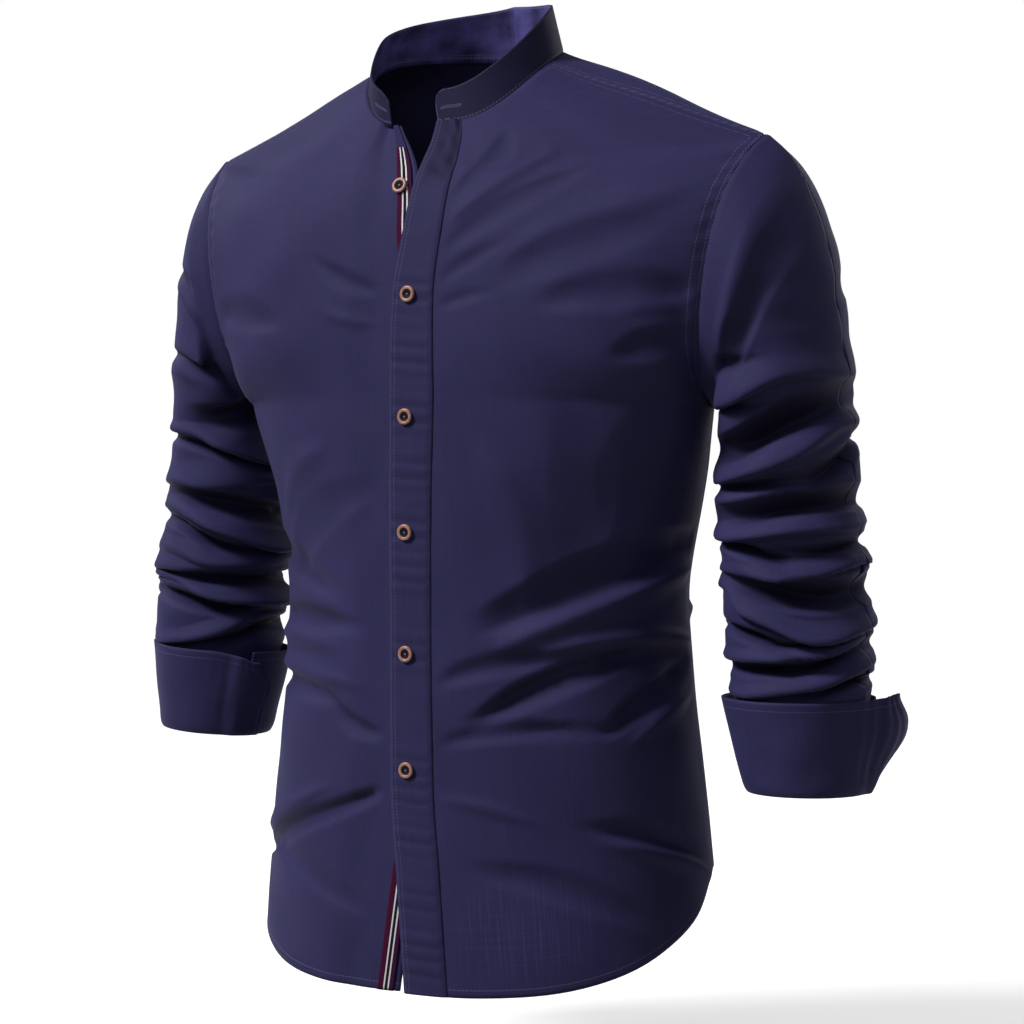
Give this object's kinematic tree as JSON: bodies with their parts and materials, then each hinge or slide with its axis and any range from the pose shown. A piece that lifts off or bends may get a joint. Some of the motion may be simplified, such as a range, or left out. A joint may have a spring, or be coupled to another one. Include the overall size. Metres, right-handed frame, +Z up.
{
  "type": "shirt",
  "caption": "Long-sleeved shirt with a standing band collar, front placket with round buttons and turned-back cuffs, hollow and held in its worn shape.",
  "frame": {"origin": "middle of the shoulder line at the base of the neck, where a wearer's shoulders hold the shirt", "axes": "+Z up, the front faces -Y, the wearer's left is +X"},
  "size_m": [0.651, 0.263, 0.7719],
  "materials": {
    "navy_cotton": "fine plain-woven navy cotton with a soft sheen",
    "striped_tape": "maroon woven tape with two thin white lines",
    "button_resin": "brown polished button with a paler rim"
  },
  "bodies": {
    "root": {"front_left": "navy_cotton", "front_right": "navy_cotton", "back": "navy_cotton", "yoke": "navy_cotton", "sleeve_left": "navy_cotton", "sleeve_right": "navy_cotton", "cuff_left": "navy_cotton", "cuff_right": "navy_cotton", "collar": "navy_cotton", "placket": "navy_cotton", "button_tape": "striped_tape", "button_neck": "button_resin", "button_1": "button_resin", "button_2": "button_resin", "button_3": "button_resin", "button_4": "button_resin", "button_5": "button_resin"}
  },
  "joints": []
}
